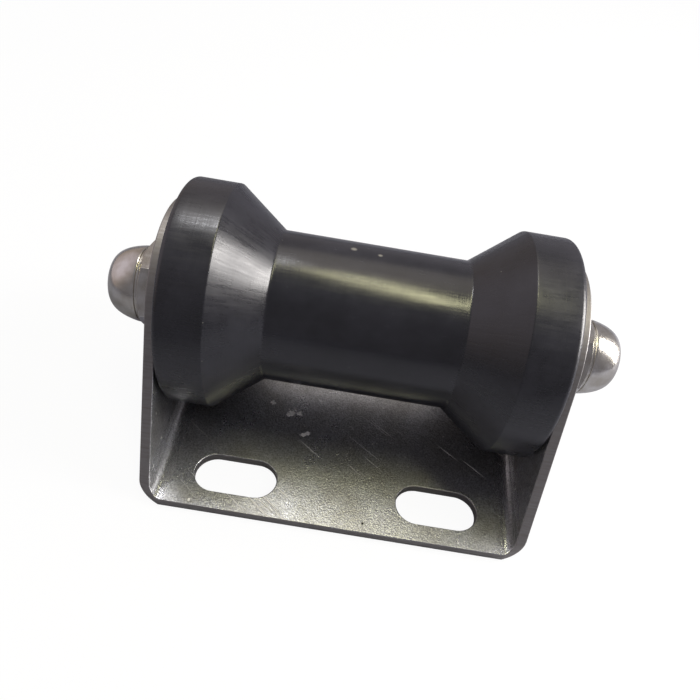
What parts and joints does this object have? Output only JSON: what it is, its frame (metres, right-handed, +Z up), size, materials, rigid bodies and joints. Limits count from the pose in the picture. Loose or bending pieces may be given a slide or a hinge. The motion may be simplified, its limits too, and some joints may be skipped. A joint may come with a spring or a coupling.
{
  "type": "bow roller",
  "caption": "Waisted black roller with wide end flanges, turning on a through stud between the tapered cheeks of a bent steel cradle with slotted base, closed by low dome nuts.",
  "frame": {"origin": "centre of the base's underside, below the middle of the axle", "axes": "+X along the axle to the right seen from the front, +Y to the rear, +Z up from the deck"},
  "size_m": [0.152, 0.102, 0.072],
  "materials": {
    "plate_steel": "mill-finished bent plate, satin",
    "roller_black": "turned black nylon, satin",
    "bush_plastic": "natural acetal",
    "tube_steel": "drawn tube",
    "stud_steel": "threaded bar",
    "nut_steel": "polished steel"
  },
  "bodies": {
    "cradle": {"cradle": "plate_steel", "spacer_tube": "tube_steel", "stud": "stud_steel", "dome_nut_left": "nut_steel", "dome_nut_right": "nut_steel"},
    "roller": {"roller": "roller_black", "bush_left": "bush_plastic", "bush_right": "bush_plastic"}
  },
  "joints": [
    {"name": "roller_spin", "type": "hinge", "parent": "cradle", "child": "roller", "pos_m": [0, 0, 0.039], "axis": [1, 0, 0], "continuous": true}
  ]
}
